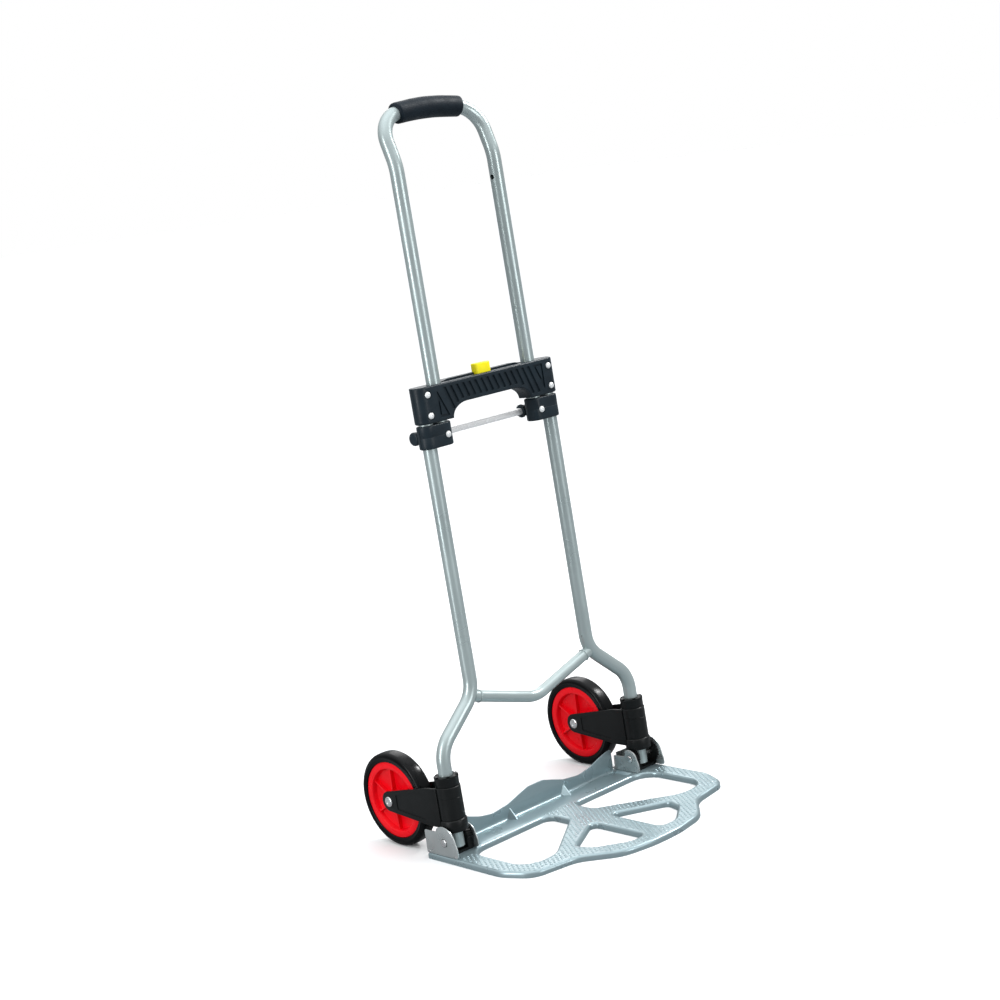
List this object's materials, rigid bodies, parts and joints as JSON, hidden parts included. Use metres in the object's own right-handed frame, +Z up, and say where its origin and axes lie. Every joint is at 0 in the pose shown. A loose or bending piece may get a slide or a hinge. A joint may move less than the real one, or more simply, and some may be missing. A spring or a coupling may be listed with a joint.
{
  "type": "folding hand truck",
  "caption": "Folding hand truck with a telescoping handle, fold-up pressed toe plate and two wheels that swing in as the plate folds.",
  "frame": {"origin": "centre of the footprint, on the ground under the truck", "axes": "+Z up; -Y to the front, where the toe plate points; X across, with the truck symmetric about X = 0"},
  "size_m": [0.4668, 0.4468, 1.132],
  "materials": {
    "powder_coated_tube": "silver grey powder coat, semi-gloss",
    "plate_steel": "silver grey coated pressed steel with a raised tread",
    "zinc_steel": "zinc-plated steel, slightly cloudy",
    "bright_steel": "bright plated steel",
    "black_plastic": "black moulded plastic, fine texture",
    "fork_plastic": "black glass-filled nylon",
    "foam": "black closed-cell foam",
    "rubber": "black rubber",
    "red_plastic": "red moulded plastic",
    "yellow_plastic": "yellow moulded plastic"
  },
  "bodies": {
    "frame": {"left_leg_tube": "powder_coated_tube", "right_leg_tube": "powder_coated_tube", "crossbar": "powder_coated_tube", "bracket_front_shell": "black_plastic", "bracket_rear_shell": "black_plastic", "left_lower_bracket_screw": "bright_steel", "left_upper_bracket_screw": "bright_steel", "right_lower_bracket_screw": "bright_steel", "right_upper_bracket_screw": "bright_steel", "left_sleeve_collar": "fork_plastic", "right_sleeve_collar": "fork_plastic", "button_spring": "bright_steel"},
    "push_button": {"lock_button": "yellow_plastic"},
    "left_lock": {"left_lock_pin": "bright_steel"},
    "right_lock": {"right_lock_pin": "bright_steel"},
    "handle": {"handle_tube": "powder_coated_tube", "grip": "foam", "left_slider_front": "black_plastic", "left_slider_rear": "black_plastic", "right_slider_front": "black_plastic", "right_slider_rear": "black_plastic", "left_slider_screw": "bright_steel", "right_slider_screw": "bright_steel", "tie_rod": "bright_steel", "left_rod_socket": "black_plastic", "left_rod_cap": "black_plastic", "right_rod_socket": "black_plastic", "right_rod_cap": "black_plastic"},
    "plate": {"toe_plate": "plate_steel", "left_hinge_bracket": "zinc_steel", "left_hinge_pin": "bright_steel", "left_fold_cam": "fork_plastic", "right_hinge_bracket": "zinc_steel", "right_hinge_pin": "bright_steel", "right_fold_cam": "fork_plastic"},
    "left_fork": {"left_wheel_fork": "fork_plastic", "left_sleeve_ring": "fork_plastic", "left_axle": "bright_steel", "left_outer_axle_cap": "bright_steel", "left_inner_axle_cap": "bright_steel"},
    "left_wheel": {"left_tyre": "rubber", "left_rim": "red_plastic", "left_bush": "fork_plastic"},
    "right_fork": {"right_wheel_fork": "fork_plastic", "right_sleeve_ring": "fork_plastic", "right_axle": "bright_steel", "right_outer_axle_cap": "bright_steel", "right_inner_axle_cap": "bright_steel"},
    "right_wheel": {"right_tyre": "rubber", "right_rim": "red_plastic", "right_bush": "fork_plastic"}
  },
  "joints": [
    {"name": "handle_slide", "type": "slide", "parent": "frame", "child": "handle", "axis": [0, 0.0424, 0.9991], "range_m": [-0.306, 0]},
    {"name": "button_press", "type": "slide", "parent": "frame", "child": "push_button", "axis": [0, 0.0424, 0.9991], "range_m": [-0.005, 0], "stiffness_N_per_m": 600, "springref_m": 0.004, "deforming": ["button_spring"]},
    {"name": "left_lock_pin_slide", "type": "slide", "parent": "frame", "child": "left_lock", "axis": [1, 0, 0], "range_m": [0, 0.005]},
    {"name": "right_lock_pin_slide", "type": "slide", "parent": "frame", "child": "right_lock", "axis": [-1, 0, 0], "range_m": [0, 0.005]},
    {"name": "plate_fold", "type": "hinge", "parent": "frame", "child": "plate", "pos_m": [0, 0.022, 0.031], "axis": [-1, 0, 0], "range_deg": [0, 90]},
    {"name": "left_fork_swing", "type": "hinge", "parent": "frame", "child": "left_fork", "pos_m": [-0.2055, 0.022, 0.031], "axis": [0, -0.0424, -0.9991], "range_deg": [0, 90]},
    {"name": "left_wheel_spin", "type": "hinge", "parent": "left_fork", "child": "left_wheel", "pos_m": [-0.2055, 0.1484, 0.075], "axis": [1, 0, 0], "continuous": true},
    {"name": "right_fork_swing", "type": "hinge", "parent": "frame", "child": "right_fork", "pos_m": [0.2055, 0.022, 0.031], "axis": [0, 0.0424, 0.9991], "range_deg": [0, 90]},
    {"name": "right_wheel_spin", "type": "hinge", "parent": "right_fork", "child": "right_wheel", "pos_m": [0.2055, 0.1484, 0.075], "axis": [1, 0, 0], "continuous": true}
  ],
  "couplings": [
    {"joint": "left_lock_pin_slide", "follows": "button_press", "ratio": -1},
    {"joint": "right_lock_pin_slide", "follows": "button_press", "ratio": -1},
    {"joint": "left_fork_swing", "follows": "plate_fold", "ratio": 1},
    {"joint": "right_fork_swing", "follows": "plate_fold", "ratio": 1}
  ]
}
